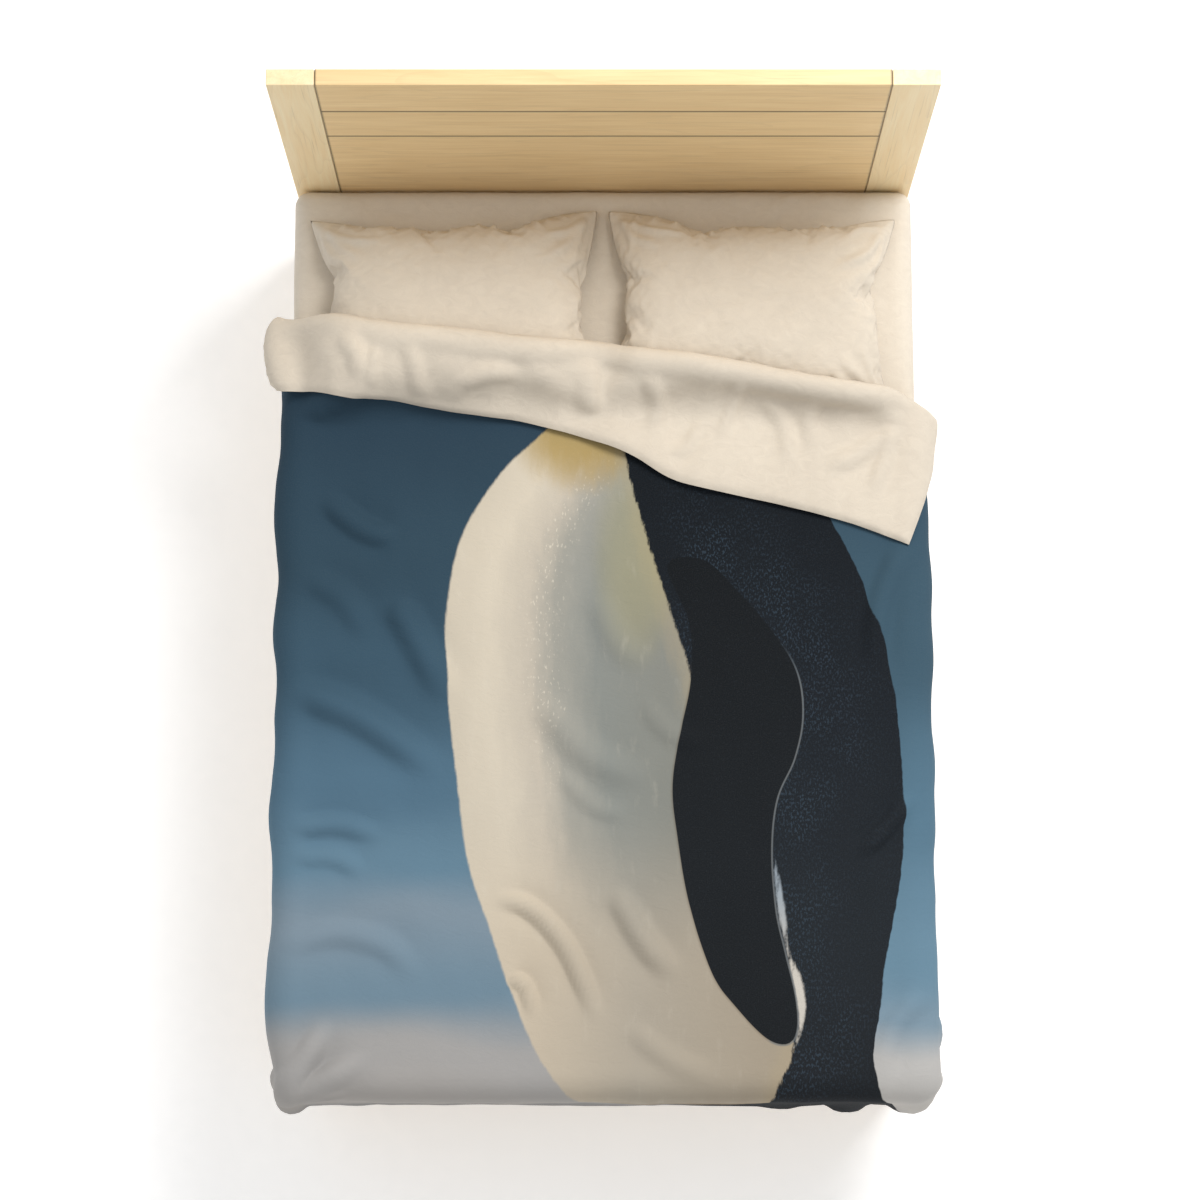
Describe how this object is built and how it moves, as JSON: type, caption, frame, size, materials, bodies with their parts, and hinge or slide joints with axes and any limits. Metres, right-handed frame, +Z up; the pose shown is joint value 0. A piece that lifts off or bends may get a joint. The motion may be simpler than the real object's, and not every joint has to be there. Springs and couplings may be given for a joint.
{
  "type": "double bed with bedding",
  "caption": "Made-up double bed: panelled wooden headboard and slatted platform, mattress with fitted sheet, pillows, and a penguin-printed duvet with its top turned down.",
  "frame": {"origin": "on the floor, under the middle of the whole bed's plan box", "axes": "+Z up, +Y from the foot to the head of the bed, +X to the right when looking from the foot to the head"},
  "size_m": [1.514, 2.1, 1.23],
  "materials": {
    "headboard_wood": "satin clear lacquer",
    "frame_wood": "satin clear lacquer",
    "slat_wood": "sawn, bare",
    "dowel_beech": "bare",
    "bracket_steel": "zinc plated",
    "zinc_fasteners": "zinc plated",
    "glide_nylon": "matte",
    "mattress_ticking": "quilted knit",
    "foam": "open-cell foam",
    "spring_pockets": "non-woven pockets",
    "sheet_cotton": "plain cotton",
    "elastic": "elastic band",
    "cream_cotton": "plain cotton",
    "printed_cotton": "cotton printed with a penguin",
    "buttons": "matte",
    "polyester_fill": "soft fill"
  },
  "bodies": {
    "frame": {"beam_hanger_foot": "bracket_steel", "beam_hanger_head": "bracket_steel", "bracket_bolts": "zinc_fasteners", "bracket_foot_left": "bracket_steel", "bracket_foot_right": "bracket_steel", "bracket_head_left": "bracket_steel", "bracket_head_right": "bracket_steel", "centre_beam": "frame_wood", "centre_leg_foot": "frame_wood", "centre_leg_head": "frame_wood", "foot_leg_left": "frame_wood", "foot_leg_right": "frame_wood", "foot_rail": "frame_wood", "glide_centre_foot": "glide_nylon", "glide_centre_head": "glide_nylon", "glide_leg_left": "glide_nylon", "glide_leg_right": "glide_nylon", "glide_post_left": "glide_nylon", "glide_post_right": "glide_nylon", "headboard_dowels": "dowel_beech", "headboard_lower_rail": "headboard_wood", "headboard_plank_lower": "headboard_wood", "headboard_plank_middle": "headboard_wood", "headboard_plank_top": "headboard_wood", "headboard_post_left": "headboard_wood", "headboard_post_right": "headboard_wood", "ledger_left": "frame_wood", "ledger_right": "frame_wood", "side_rail_left": "frame_wood", "side_rail_right": "frame_wood", "slat_01": "slat_wood", "slat_02": "slat_wood", "slat_03": "slat_wood", "slat_04": "slat_wood", "slat_05": "slat_wood", "slat_06": "slat_wood", "slat_07": "slat_wood", "slat_08": "slat_wood", "slat_09": "slat_wood", "slat_10": "slat_wood", "slat_11": "slat_wood", "slat_12": "slat_wood", "slat_13": "slat_wood", "slat_14": "slat_wood", "slat_screws": "zinc_fasteners"},
    "mattress": {"fitted_sheet": "sheet_cotton", "mattress_base_foam": "foam", "mattress_comfort_foam": "foam", "mattress_cover": "mattress_ticking", "mattress_spring_core": "spring_pockets", "sheet_elastic": "elastic"},
    "duvet": {"duvet_buttons": "buttons", "duvet_cover_face": "printed_cotton", "duvet_cover_reverse": "cream_cotton", "duvet_insert": "polyester_fill"},
    "pillow_left": {"pillow_insert_left": "polyester_fill", "pillowcase_left": "cream_cotton"},
    "pillow_right": {"pillow_insert_right": "polyester_fill", "pillowcase_right": "cream_cotton"}
  },
  "joints": [
    {"name": "mattress_lift", "type": "slide", "parent": "frame", "child": "mattress", "axis": [0, 0, 1], "range_m": [0, 0.3]},
    {"name": "duvet_lift", "type": "slide", "parent": "mattress", "child": "duvet", "axis": [0, 0, 1], "range_m": [0, 0.6]},
    {"name": "pillow_left_slide", "type": "slide", "parent": "mattress", "child": "pillow_left", "axis": [0, 1, 0], "range_m": [0, 0.06]},
    {"name": "pillow_right_slide", "type": "slide", "parent": "mattress", "child": "pillow_right", "axis": [0, 1, 0], "range_m": [0, 0.06]}
  ]
}
